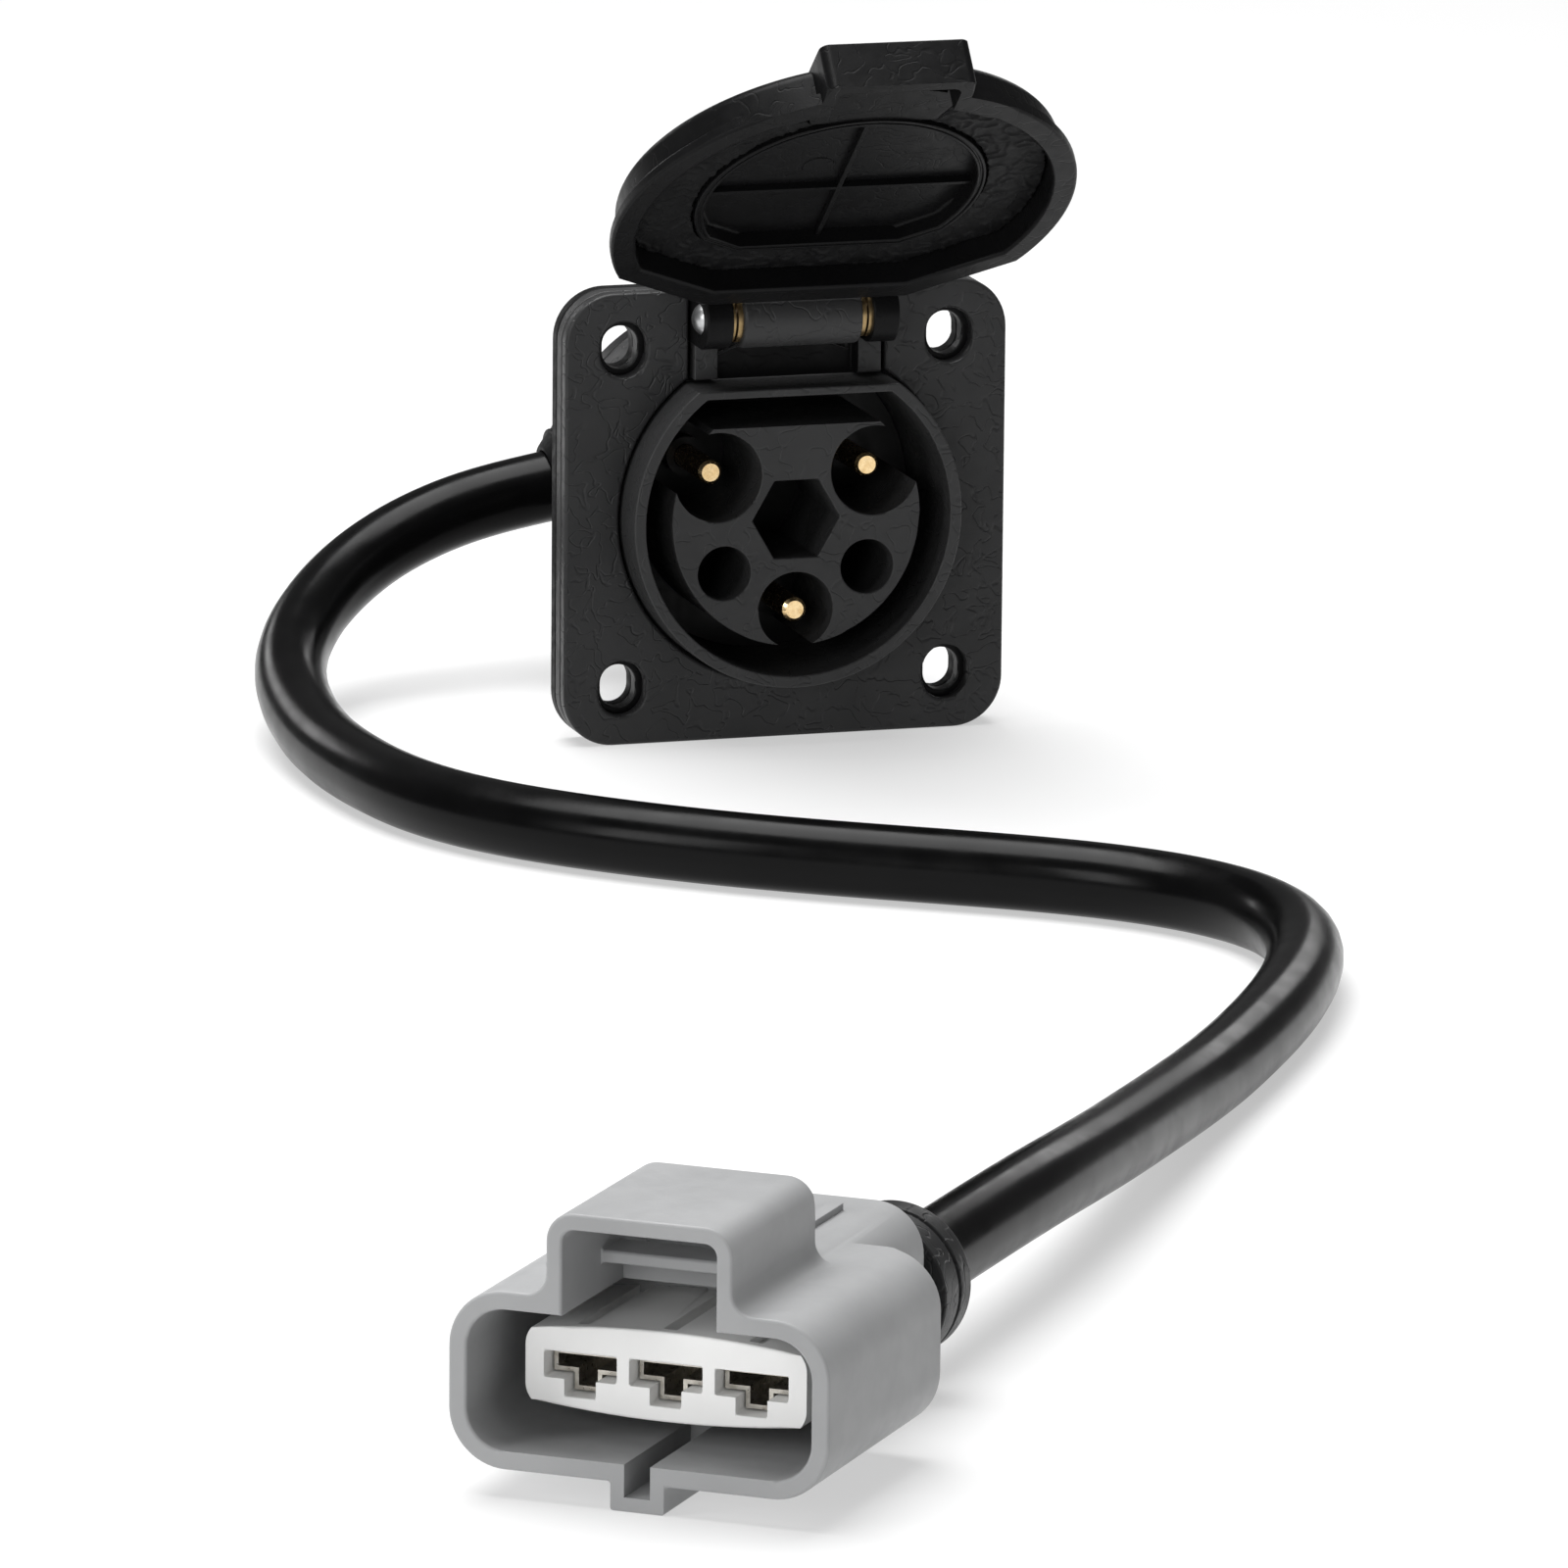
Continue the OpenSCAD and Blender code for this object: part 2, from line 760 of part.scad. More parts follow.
// Half of a domed head: a flat cap of a larger circle
module pin_head_profile() {
    dome = (pin_head_r * pin_head_r + pin_head_h * pin_head_h) / (2 * pin_head_h);
    intersection() {
        translate([0, ear_x1 + pin_head_h - dome]) circle(dome);
        translate([0, ear_x1]) square([pin_head_r, pin_head_h]);
    }
}

// A flanged bush pressed into one end of the lid's knuckle
module hinge_bush(side) {
    end_x = knuckle_w / 2;
    color(brass) opened() mirror([side < 0 ? 1 : 0, 0, 0]) turned_on_hinge() difference() {
        union() {
            translate([0, end_x - bush_len]) square([bush_r, bush_len + eps]);
            translate([0, end_x]) square([bush_flange_r, bush_flange_t]);
        }
        translate([0, -big]) square([hinge_pin_r + run, 2 * big]);
    }
}

module hinge_bush_left() {
    hinge_bush(-1);
}

module hinge_bush_right() {
    hinge_bush(1);
}

// A washer against the inner face of an ear
module friction_washer(side) {
    color(brass) mirror([side < 0 ? 1 : 0, 0, 0]) turned_on_hinge() difference() {
        translate([0, ear_x0 - washer_t]) square([bush_flange_r, washer_t]);
        translate([0, -big]) square([hinge_pin_r + press, 2 * big]);
    }
}

module friction_washer_left() {
    friction_washer(-1);
}

module friction_washer_right() {
    friction_washer(1);
}

// Along the cable outlet: local Z runs out of the dome
module along_outlet() {
    translate([0, outlet_y, -outlet_drop]) rotate([0, -90 - outlet_tilt, 0]) children();
}

// A dome's profile of radius and depth, closed by a rounded end
module dome_profile(r, y0, y1, round_r) {
    translate([0, y0]) {
        square([r, y1 - y0 - round_r]);
        square([r - round_r, y1 - y0]);
        translate([r - round_r, y1 - y0 - round_r]) circle(round_r);
    }
}

module rear_cover() {
    inner_r = dome_r - dome_wall;
    color(black) difference() {
        union() {
            difference() {
                turned() {
                    translate([0, barrel_len]) square([collar_r, cover_t]);
                    dome_profile(dome_r, barrel_len, dome_y, dome_round);
                }
                turned() translate([0, -eps])
                    dome_profile(inner_r, barrel_len, dome_y - dome_wall, dome_round - dome_wall);
            }
            along_outlet() translate([0, 0, outlet_in]) cylinder(r = outlet_r, h = outlet_len - outlet_in);
        }
        along_outlet() translate([0, 0, outlet_in - eps]) cylinder(r = bush_body_r + press, h = outlet_len);
        screw_posts(barrel_len - eps, cover_y + eps, screw_r + fit);
    }
}

// A pan-head screw through the cover into the barrel's post
module cover_screw(i) {
    color(steel) rotate([0, screw_angles[i], 0]) translate([screw_circle_r, 0, 0]) difference() {
        turned() {
            translate([0, cover_y - screw_len]) square([screw_r, screw_len + eps]);
            translate([0, cover_y]) square([screw_head_r, screw_head_h]);
        }
        slab(cover_y + screw_head_h / 2, cover_y + screw_head_h + eps) {
            square([screw_head_r, screw_r / 3], center = true);
            square([screw_r / 3, screw_head_r], center = true);
        }
    }
}

module cover_screw_1() {
    cover_screw(0);
}

module cover_screw_2() {
    cover_screw(1);
}

module cover_screw_3() {
    cover_screw(2);
}

module cover_screw_4() {
    cover_screw(3);
}

// The rubber bush that seals the cable into the outlet, with a tapered nose
module cable_bush() {
    color(rubber) along_outlet() difference() {
        union() {
            translate([0, 0, bush_in]) cylinder(r = bush_body_r, h = outlet_len - bush_in + eps);
            translate([0, 0, outlet_len]) cylinder(r = bush_head_r, h = bush_head_t);
            translate([0, 0, outlet_len + bush_head_t - eps])
                cylinder(r1 = bush_head_r - bush_nose_step, r2 = bush_bore_r + bush_tip_wall,
                    h = bush_nose);
        }
        translate([0, 0, bush_in - eps]) cylinder(r = bush_bore_r, h = big);
    }
}

// The end of the cable's sheath inside the dome, moved across to one core's place
function core_start(s, shift) =
    out_at + out_dir * s + shift[0] * [0, 1, 0] + shift[1] * cross(out_dir, [0, 1, 0]);

function cup_end(x, z) = [x, cup_mouth_y - cup_depth + cup_end_room, z];

// A core from the sheath's end to the solder cup of one pin
module pin_core(x, z, shift) {
    color(copper) tube(curve([core_start(cord_in, shift), core_start(cord_in - core_lead, shift),
        [x, cup_mouth_y + core_turn, z], [x, cup_mouth_y + core_straight, z], cup_end(x, z)], core_steps),
        core_r, core_sides);
}

module core_left() {
    pin_core(-power_x, power_z, [-core_spread, -core_spread]);
}

module core_right() {
    pin_core(power_x, power_z, [core_spread, -core_spread]);
}

module core_earth() {
    pin_core(0, -earth_drop, [0, core_spread]);
}

// Control points with one more beyond each end, so that a curve meets both ends
function knot(g, i) = let (n = len(g) - 1)
    i < 0 ? 2 * g[0] - g[1] : i > n ? 2 * g[n] - g[n - 1] : g[i];

// A uniform cubic B-spline over the control points
function on_curve(g, i, t) = (pow(1 - t, 3) * knot(g, i - 1) + (3 * pow(t, 3) - 6 * t * t + 4) * knot(g, i)
    + (3 * t * t + 3 * t + 1 - 3 * pow(t, 3)) * knot(g, i + 1) + pow(t, 3) * knot(g, i + 2)) / 6;

function curve(g, steps) =
    concat([for (i = [0 : len(g) - 2], k = [0 : steps - 1]) on_curve(g, i, k / steps)], [g[len(g) - 1]]);

function unit(v) = v / norm(v);

function heading(line, i) = unit(line[min(i + 1, len(line) - 1)] - line[max(i - 1, 0)]);

function ring_at(line, i, r, sides) =
    let (d = heading(line, i), side = unit(cross(d, [0, 0, 1])), up = cross(side, d))
    [for (k = [0 : sides - 1]) let (a = 360 * (k + 0.5) / sides) line[i] + r * (cos(a) * side + sin(a) * up)];

// A tube along a line of points
module tube(line, r, sides) {
    rings = len(line);
    points = [for (i = [0 : rings - 1]) each ring_at(line, i, r, sides)];
    walls = [for (i = [0 : rings - 2], k = [0 : sides - 1])
        let (n = (k + 1) % sides, a = i * sides, b = a + sides) [a + k, b + k, b + n, a + n]];
    start = [for (k = [0 : sides - 1]) k];
    end = [for (k = [sides - 1 : -1 : 0]) (rings - 1) * sides + k];
    polyhedron(points, concat(walls, [start, end]));
}

module cord() {
    color(black) tube(curve(guide, route_steps), cable_r, cord_sides);
}

// The connector's own frame, standing on the floor
module at_connector() {
    translate([conn_at[0], conn_at[1], floor_z]) rotate([0, 0, conn_yaw - 90]) children();
}

// The shroud's section: body and keyway
module body_outline(inset) {
    translate([0, mid_z]) rounded(conn_w - 2 * inset, conn_h - 2 * inset, conn_r - inset);
}

// The hood's section, standing on the body with a fillet each side
module hood_outline() {
    translate([-hood_w / 2, mid_z]) square([hood_w, hood_top - hood_r - mid_z]);
    translate([-hood_w / 2 + hood_r, mid_z]) square([hood_w - 2 * hood_r, hood_top - mid_z]);
    for (x = [-1, 1]) translate([x * (hood_w / 2 - hood_r), hood_top - hood_r]) circle(hood_r);
    for (x = [-1, 1]) difference() {
        translate([x * (hood_w + hood_fillet) / 2, body_top + hood_fillet / 2 - eps])
            square(hood_fillet, center = true);
        translate([x * (hood_w / 2 + hood_fillet), body_top + hood_fillet]) circle(hood_fillet);
    }
}

module hood_cavity() {
    inner_w = hood_w - 2 * hood_wall;
    inner_r = hood_r - hood_wall;
    inner_top = hood_top - hood_wall;
    translate([-inner_w / 2, mid_z]) square([inner_w, inner_top - inner_r - mid_z]);
    translate([-inner_w / 2 + inner_r, mid_z]) square([inner_w - 2 * inner_r, inner_top - mid_z]);
    for (x = [-1, 1]) translate([x * (inner_w / 2 - inner_r), inner_top - inner_r]) circle(inner_r);
}

module rear_outline(inset) {
    translate([0, mid_z])
        rounded(rear_w - 2 * inset, conn_h + 2 * rear_rise - 2 * inset, rear_r - inset);
}

module connector_housing() {
    color(grey) at_connector() difference() {
        union() {
            slab(0, conn_len) body_outline(0);
            slab(0, hood_len) hood_outline();
            slab(0, key_len) translate([-key_w / 2, 0]) square([key_w, mid_z]);
            slab(rear_start, rear_y) rear_outline(0);
            for (x = rear_rib_x)
                slab(rear_start, conn_len + rear_rib_end)
                    translate([x - rear_rib_w / 2, mid_z])
                        square([rear_rib_w, conn_h / 2 + rear_rib_h]);
        }
        slab(-eps, mouth_depth) body_outline(conn_wall);
        difference() {
            slab(-eps, hood_len + eps) intersection() {
                hood_cavity();
                translate([-big / 2, body_top]) square(big);
            }
            slab(bar_y0, bar_y0 + bar_len) translate([-hood_w / 2, bar_z]) square([hood_w, bar_t]);
        }
        slab(-eps, hood_mouth_y) intersection() {
            hood_cavity();
            translate([-big / 2, body_top - big + eps]) square(big);
        }
        slab(-eps, key_len - key_wall) translate([-key_w / 2 + key_wall, key_wall])
            square([key_w - 2 * key_wall, mid_z - key_wall]);
        for (x = terminal_x) translate([x, 0, holder_z])
            slab(mouth_depth - eps, chamber_y + wire_hole_lap) circle(wire_hole_r);
        slab(chamber_y, chamber_end) rear_outline(rear_wall);
        translate([cable_x, 0, cable_z])
            slab(chamber_end - eps, rear_y + eps) circle(ring_spigot_r + press);
    }
}

// The holder's section: a rounded oblong with slightly bowed sides
module holder_outline() {
    intersection() {
        rounded(holder_w, holder_h, holder_r);
        translate([0, holder_h / 2 - holder_bow]) circle(holder_bow, $fn = bow_fn);
        translate([0, holder_bow - holder_h / 2]) circle(holder_bow, $fn = bow_fn);
    }
}

// A blade aperture with a lower notch
module aperture_outline(inset) {
    translate([-aperture_w / 2 + inset, slot_top - aperture_h + inset])
        square([aperture_w - 2 * inset, aperture_h - 2 * inset]);
    translate([-notch_half + inset, slot_top - aperture_h - notch_h + inset])
        square([2 * (notch_half - inset), notch_h + eps]);
}

module terminal_holder() {
    color(white) at_connector() translate([0, 0, holder_z]) difference() {
        union() {
            slab(holder_recess, holder_recess + holder_lip) holder_outline();
            slab(holder_recess + holder_lip - eps, mouth_depth) difference() {
                holder_outline();
                for (x = terminal_x) translate([x, holder_h / 2])
                    square([top_groove_w, 2 * top_groove_d], center = true);
            }
        }
        for (x = terminal_x) translate([x, 0, 0])
            slab(holder_recess - eps, mouth_depth + eps) aperture_outline(0);
    }
}

// A folded blade receptacle with a crimp barrel for its wire
module terminal(x) {
    end_y = terminal_y + terminal_len;
    color(tin) at_connector() translate([x, 0, holder_z]) difference() {
        union() {
            slab(terminal_y, end_y) aperture_outline(terminal_gap);
            slab(end_y - eps, mouth_depth + cup_end_room)
                translate([0, slot_top - aperture_h]) square([neck_w, neck_t], center = true);
            slab(mouth_depth, mouth_depth + crimp_len) circle(crimp_r);
        }
        slab(terminal_y - eps, end_y - crimp_floor) aperture_outline(terminal_gap + terminal_wall);
        slab(mouth_depth + crimp_floor, mouth_depth + crimp_len + eps) circle(cup_bore_r);
    }
}

module terminal_left() {
    terminal(terminal_x[0]);
}

module terminal_centre() {
    terminal(terminal_x[1]);
}

module terminal_right() {
    terminal(terminal_x[2]);
}

// The black ring that holds the cable in the rear block
module cable_ring() {
    color(black) at_connector() translate([cable_x, 0, cable_z]) turned() difference() {
        union() {
            translate([0, rear_y - ring_spigot_len])
                square([ring_spigot_r, ring_spigot_len + cable_ring_gap + eps]);
            dome_profile(cable_ring_r, ring_y, ring_y + cable_ring_len, ring_edge);
        }
        translate([0, -big]) square([bush_bore_r, 4 * big]);
        translate([cable_ring_r - ring_groove, ring_y + ring_groove_at])
            square([2 * ring_groove, ring_groove_w]);
    }
}

// A core of the cable inside the connector, from the sheath's end to a crimp
module lead_core(x, shift) {
    crimp_y = mouth_depth + crimp_len;
    start_x = cable_x + shift[0];
    start_z = cable_z + shift[1];
    color(copper) at_connector() tube(curve([[start_x, cable_end_y, start_z],
        [start_x, cable_end_y - core_lead, start_z], [x, crimp_y + lead_turn, holder_z],
        [x, crimp_y + lead_straight, holder_z], [x, mouth_depth + crimp_floor + cup_end_room, holder_z]],
        core_steps), core_r, core_sides);
}

module lead_left() {
    lead_core(terminal_x[0], [-core_spread, -core_spread / 2]);
}

module lead_centre() {
    lead_core(terminal_x[1], [0, core_spread]);
}

module lead_right() {
    lead_core(terminal_x[2], [core_spread, -core_spread / 2]);
}

front_bezel();
socket_body();
panel_gasket();
contact_block();
pin_carrier();
power_pin_left();
power_pin_right();
earth_pin();
lid();
lid_seal();
hinge_pin();
hinge_bush_left();
hinge_bush_right();
friction_washer_left();
friction_washer_right();
rear_cover();
cover_screw_1();
cover_screw_2();
cover_screw_3();
cover_screw_4();
cable_bush();
core_left();
core_right();
core_earth();
cord();
connector_housing();
terminal_holder();
terminal_left();
terminal_centre();
terminal_right();
cable_ring();
lead_left();
lead_centre();
lead_right();
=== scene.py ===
# Looks of a panel-mount charging inlet with its lid open, and the lead to its three-way connector.
# Metres, in the part's own frame: the socket faces -Y and +Z is up.
import json
import math

import bmesh
import bpy
from mathutils import Matrix, Vector, kdtree, noise
from mathutils.bvhtree import BVHTree


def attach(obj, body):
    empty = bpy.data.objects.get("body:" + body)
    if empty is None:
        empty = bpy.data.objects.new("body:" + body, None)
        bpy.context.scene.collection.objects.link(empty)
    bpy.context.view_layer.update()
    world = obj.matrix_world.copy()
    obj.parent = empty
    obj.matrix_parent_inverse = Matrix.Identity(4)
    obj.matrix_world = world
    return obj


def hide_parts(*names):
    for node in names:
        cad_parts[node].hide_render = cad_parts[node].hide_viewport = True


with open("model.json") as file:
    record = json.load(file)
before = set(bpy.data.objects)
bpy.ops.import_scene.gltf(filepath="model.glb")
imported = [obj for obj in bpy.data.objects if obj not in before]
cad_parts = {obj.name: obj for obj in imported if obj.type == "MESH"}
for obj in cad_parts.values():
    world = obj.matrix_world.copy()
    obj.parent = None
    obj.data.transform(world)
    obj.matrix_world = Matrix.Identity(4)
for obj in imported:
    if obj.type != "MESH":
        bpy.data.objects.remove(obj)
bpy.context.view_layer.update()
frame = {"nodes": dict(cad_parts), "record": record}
nodes = frame["nodes"]
scene = bpy.context.scene
collection = scene.collection

FLOOR_Z = -0.038
UP = Vector((0, 0, 1))

# Camera at the photograph's viewing angle, through a long lens
CAMERA_AZIMUTH = math.radians(-16.934)
CAMERA_ELEVATION = math.radians(12.5)
CAMERA_ROLL = math.radians(0.507)
CAMERA_TARGET = Vector((0.000118, -0.0084, -0.046138))
CAMERA_DISTANCE = 2.28095
CAMERA_LENS_MM = 315
CAMERA_SENSOR_MM = 36
CAMERA_FAR = 50

# The cable's route: control points in millimetres, with heights above the floor
ROUTE = [(-56, 46, 24), (-70, 34, 17), (-79, 17, 11), (-82, -3, 7.5), (-83, -23, 6),
         (-82, -43, 6), (-79, -63, 6), (-71, -81, 6), (-58, -97, 6), (-43, -111, 6),
         (-27, -123, 6), (-10, -134, 6), (6, -145, 6), (20, -159, 6), (28, -177, 6),
         (27, -197, 6), (20, -216, 6), (11, -234, 6), (1, -251, 6), (-11, -270, 6),
         (-24, -290, 7), (-36.5, -310.5, 9), (-49, -331, 11), (-61.5, -350.5, 13),
         (-73, -367.5, 14.5)]
CABLE_D = 0.012
CABLE_STEPS = 8
CABLE_ROUNDNESS = 10
# Where the cable leaves the rear cover, and its straight run there along the outlet's axis
OUTLET_AT = Vector((0, 0.0516, -0.0018))
OUTLET_TILT = math.radians(10)
OUTLET_RUN = (0.009, 0.025, 0.040)
# Where the connector lies, and the cable's straight run into it, aside of and above that place
CONNECTOR_AT = Vector((-0.158, -0.464, FLOOR_Z))
CONNECTOR_YAW = math.radians(52)
CONNECTOR_RUN = (0.100, 0.081, 0.057)
CABLE_ASIDE = 0.008
CABLE_ABOVE = 0.015

# The part of a noise's range that a finish makes use of
NOISE_LOW = 0.35
NOISE_HIGH = 0.65
CREASE_CURL = 0.6

# Rounded edges
MERGE_DISTANCE = 2e-6
FLAT_ANGLE = math.radians(0.6)
SHARP_ANGLE = math.radians(32)
CORNER_ANGLE = math.radians(30)
ROUNDING_SEGMENTS = 3
SMALLEST_SHARE = 0.02
# How much of the gap to the next sharp edge a rounding may take
GAP_SHARE = 0.45
# Distances in radii: to look for another edge, to stray from the solid, to ease edges round a fault
LOOK_REACH = 2.5
STRAY_LIMIT = 0.6
FAULT_REACH = 1.5
# What each round of easing keeps of the rounding beside a fault
EASING = (0.5, 0.5, 0.3, 0, 0)
FOLDED_OVER = -0.3
TINY_AREA = 1e-9

# The seal's even mesh, and the swirl of its ridges, which the seed keeps the same in every run
SEAL_VOXEL = 0.0003
SWIRL = 0.6
SWIRL_SCALE = 0.7
SWIRL_SEED = 7

# The hinge pin's axis, how far the lid's arm and the ears reach round it, and the plate's front
HINGE = Vector((0, -0.0132, 0.034))
ARM_REACH = 0.0075
EAR_REACH = 0.0055
PLATE_DEPTH = -0.006
FACING_FRONT = -0.9

FLOOR_HALF = 8
WORLD_STRENGTH = 0.12
WHITE = (1, 1, 1, 1)


def set_camera():
    level = math.cos(CAMERA_ELEVATION)
    back = Vector((math.sin(CAMERA_AZIMUTH) * level, -math.cos(CAMERA_AZIMUTH) * level,
                   math.sin(CAMERA_ELEVATION)))
    right = (-back).cross(UP).normalized()
    up = right.cross(-back)
    side = math.cos(CAMERA_ROLL) * right + math.sin(CAMERA_ROLL) * up
    top = math.cos(CAMERA_ROLL) * up - math.sin(CAMERA_ROLL) * right
    data = bpy.data.cameras.new("camera")
    data.lens = CAMERA_LENS_MM
    data.sensor_width = CAMERA_SENSOR_MM
    data.clip_end = CAMERA_FAR
    camera = bpy.data.objects.new("camera", data)
    collection.objects.link(camera)
    turn = Matrix((side, top, back)).transposed().to_4x4()
    camera.matrix_world = Matrix.Translation(CAMERA_TARGET + back * CAMERA_DISTANCE) @ turn
    scene.camera = camera


# The middle of the cable: one smooth curve along its control points
def cable_line():
    out_dir = Vector((-math.cos(OUTLET_TILT), 0, -math.sin(OUTLET_TILT)))
    in_dir = Vector((math.cos(CONNECTOR_YAW), math.sin(CONNECTOR_YAW), 0))
    in_side = in_dir.cross(UP)
    in_at = CONNECTOR_AT + in_side * CABLE_ASIDE + Vector((0, 0, CABLE_ABOVE))
    guide = [OUTLET_AT + out_dir * s for s in OUTLET_RUN]
    guide += [Vector((x / 1000, y / 1000, z / 1000 + FLOOR_Z)) for x, y, z in ROUTE]
    guide += [in_at + in_dir * s for s in CONNECTOR_RUN]
    knots = [2 * guide[0] - guide[1]] + guide + [2 * guide[-1] - guide[-2]]
    line = []
    for a, b, c, d in zip(knots, knots[1:], knots[2:], knots[3:]):
        for k in range(CABLE_STEPS):
            t = k / CABLE_STEPS
            line.append(((1 - t) ** 3 * a + (3 * t ** 3 - 6 * t * t + 4) * b
                         + (3 * t * t + 3 * t + 1 - 3 * t ** 3) * c + t ** 3 * d) / 6)
    return line + [guide[-1]]


def lay_cable():
    line = cable_line()
    data = bpy.data.curves.new("cable", "CURVE")
    data.dimensions = "3D"
    data.bevel_depth = 1
    data.bevel_resolution = CABLE_ROUNDNESS
    data.use_fill_caps = True
    spline = data.splines.new("POLY")
    spline.points.add(len(line) - 1)
    for point, place in zip(spline.points, line):
        point.co = (*place, 1)
        point.radius = CABLE_D / 2
    spline.use_smooth = True
    cable = bpy.data.objects.new("cable", data)
    collection.objects.link(cable)
    length = sum((b - a).length for a, b in zip(line, line[1:]))
    return cable, line[0], length


set_camera()
cable, cable_exit, cable_length = lay_cable()


# Materials: every one reads the piece's own place in metres
class Finish:
    def __init__(self, name):
        self.material = bpy.data.materials.new(name)
        self.material.use_nodes = True
        self.tree = self.material.node_tree
        self.shader = self.tree.nodes["Principled BSDF"]
        self.place = self.add("ShaderNodeTexCoord").outputs["Object"]

    # A new node, with its settings and the values of its inputs
    def add(self, kind, **values):
        node = self.tree.nodes.new(kind)
        for key, value in values.items():
            if hasattr(node, key):
                setattr(node, key, value)
            else:
                node.inputs[key.replace("_", " ")].default_value = value
        return node

    def join(self, source, target):
        self.tree.links.new(source, target)

    # Values that are the same all over the surface
    def set(self, **values):
        for key, value in values.items():
            self.shader.inputs[key.replace("_", " ")].default_value = value
        return self

    def noise(self, scale, detail, rough=0.5):
        node = self.add("ShaderNodeTexNoise", Scale=scale, Detail=detail, Roughness=rough)
        self.join(self.place, node.inputs["Vector"])
        return node.outputs["Fac"]

    # Thin curly creases, as a grained mould prints them
    def creases(self, scale, width):
        node = self.add("ShaderNodeTexNoise", Scale=scale, Detail=1.0, Distortion=CREASE_CURL)
        self.join(self.place, node.inputs["Vector"])
        gap = self.add("ShaderNodeMath", operation="SUBTRACT")
        gap.inputs[1].default_value = 0.5
        self.join(node.outputs["Fac"], gap.inputs[0])
        size = self.add("ShaderNodeMath", operation="ABSOLUTE")
        self.join(gap.outputs["Value"], size.inputs[0])
        return self.spread(size.outputs["Value"], low=0.0, high=1.0, start=0.0, end=width)

    def spread(self, value, low, high, start=NOISE_LOW, end=NOISE_HIGH):
        node = self.add("ShaderNodeMapRange", From_Min=start, From_Max=end, To_Min=low, To_Max=high)
        self.join(value, node.inputs["Value"])
        return node.outputs["Result"]

    def tones(self, value, dark, light):
        ramp = self.add("ShaderNodeValToRGB")
        first, last = ramp.color_ramp.elements
        first.position = NOISE_LOW
        first.color = (*dark, 1)
        last.position = NOISE_HIGH
        last.color = (*light, 1)
        self.join(value, ramp.inputs["Fac"])
        self.join(ramp.outputs["Color"], self.shader.inputs["Base Color"])

    def roughness(self, value, low, high):
        self.join(self.spread(value, low, high), self.shader.inputs["Roughness"])

    # Relief in the surface, over the relief that lies under it
    def relief(self, value, depth, strength, under=None):
        node = self.add("ShaderNodeBump", Strength=strength, Distance=depth)
        self.join(value, node.inputs["Height"])
        if under is not None:
            self.join(under, node.inputs["Normal"])
        self.join(node.outputs["Normal"], self.shader.inputs["Normal"])
        return node.outputs["Normal"]


# The flange: charcoal plastic with fine grain and faint curly creases from its mould
def charcoal_plastic():
    f = Finish("charcoal_plastic").set(IOR=1.47, Specular_IOR_Level=0.28)
    f.tones(f.noise(scale=60, detail=4), dark=(0.0185, 0.0186, 0.0191), light=(0.0240, 0.0241, 0.0247))
    f.roughness(f.noise(scale=420, detail=3), low=0.36, high=0.46)
    grain = f.relief(f.noise(scale=2600, detail=4, rough=0.6), depth=0.00006, strength=0.30)
    f.relief(f.creases(scale=300, width=0.035), depth=0.00016, strength=0.65, under=grain)
    return f.material


# The lid, the ears and the plate behind the notch: the same plastic as the flange, painted blacker to
# stand in for the shade on them
def shaded_charcoal_plastic():
    f = Finish("shaded_charcoal_plastic").set(IOR=1.47, Specular_IOR_Level=0.10)
    f.tones(f.noise(scale=60, detail=4), dark=(0.0042, 0.0042, 0.0044), light=(0.0060, 0.0060, 0.0063))
    f.roughness(f.noise(scale=420, detail=3), low=0.30, high=0.40)
    grain = f.relief(f.noise(scale=2600, detail=4, rough=0.6), depth=0.00005, strength=0.22)
    f.relief(f.creases(scale=260, width=0.025), depth=0.00012, strength=0.22, under=grain)
    return f.material


# The socket and its contact block: smoother and a little lighter plastic. The lid's arm wears it too, as
# painted light: the arm is the lid's own plastic, made lighter where the light falls on it
def block_and_lit_arm_plastic():
    f = Finish("block_and_lit_arm_plastic").set(IOR=1.47, Specular_IOR_Level=0.34)
    f.tones(f.noise(scale=90, detail=4), dark=(0.0250, 0.0251, 0.0256), light=(0.0300, 0.0301, 0.0307))
    f.roughness(f.noise(scale=500, detail=3), low=0.42, high=0.52)
    grain = f.relief(f.noise(scale=2200, detail=4, rough=0.6), depth=0.00005, strength=0.3)
    f.relief(f.creases(scale=230, width=0.030), depth=0.00014, strength=0.55, under=grain)
    return f.material


def black_plastic():
    f = Finish("black_plastic").set(IOR=1.47, Specular_IOR_Level=0.24)
    f.tones(f.noise(scale=80, detail=4), dark=(0.0050, 0.0050, 0.0053), light=(0.0075, 0.0075, 0.0079))
    f.roughness(f.noise(scale=500, detail=3), low=0.34, high=0.44)
    f.relief(f.noise(scale=1800, detail=4, rough=0.6), depth=0.00005, strength=0.25)
    return f.material


def seal_rubber():
    f = Finish("seal_rubber").set(IOR=1.5, Specular_IOR_Level=0.10)
    f.tones(f.noise(scale=240, detail=5), dark=(0.0040, 0.0040, 0.0042), light=(0.0070, 0.0070, 0.0073))
    f.roughness(f.noise(scale=700, detail=3), low=0.44, high=0.60)
    f.relief(f.noise(scale=1500, detail=5, rough=0.65), depth=0.00008, strength=0.35)
    return f.material


def cable_sheath():
    f = Finish("cable_sheath").set(IOR=1.5, Specular_IOR_Level=0.11)
    f.tones(f.noise(scale=70, detail=4), dark=(0.0014, 0.0014, 0.0015), light=(0.0024, 0.0024, 0.0025))
    f.roughness(f.noise(scale=160, detail=4), low=0.20, high=0.27)
    f.relief(f.noise(scale=1200, detail=3), depth=0.00003, strength=0.15)
    return f.material


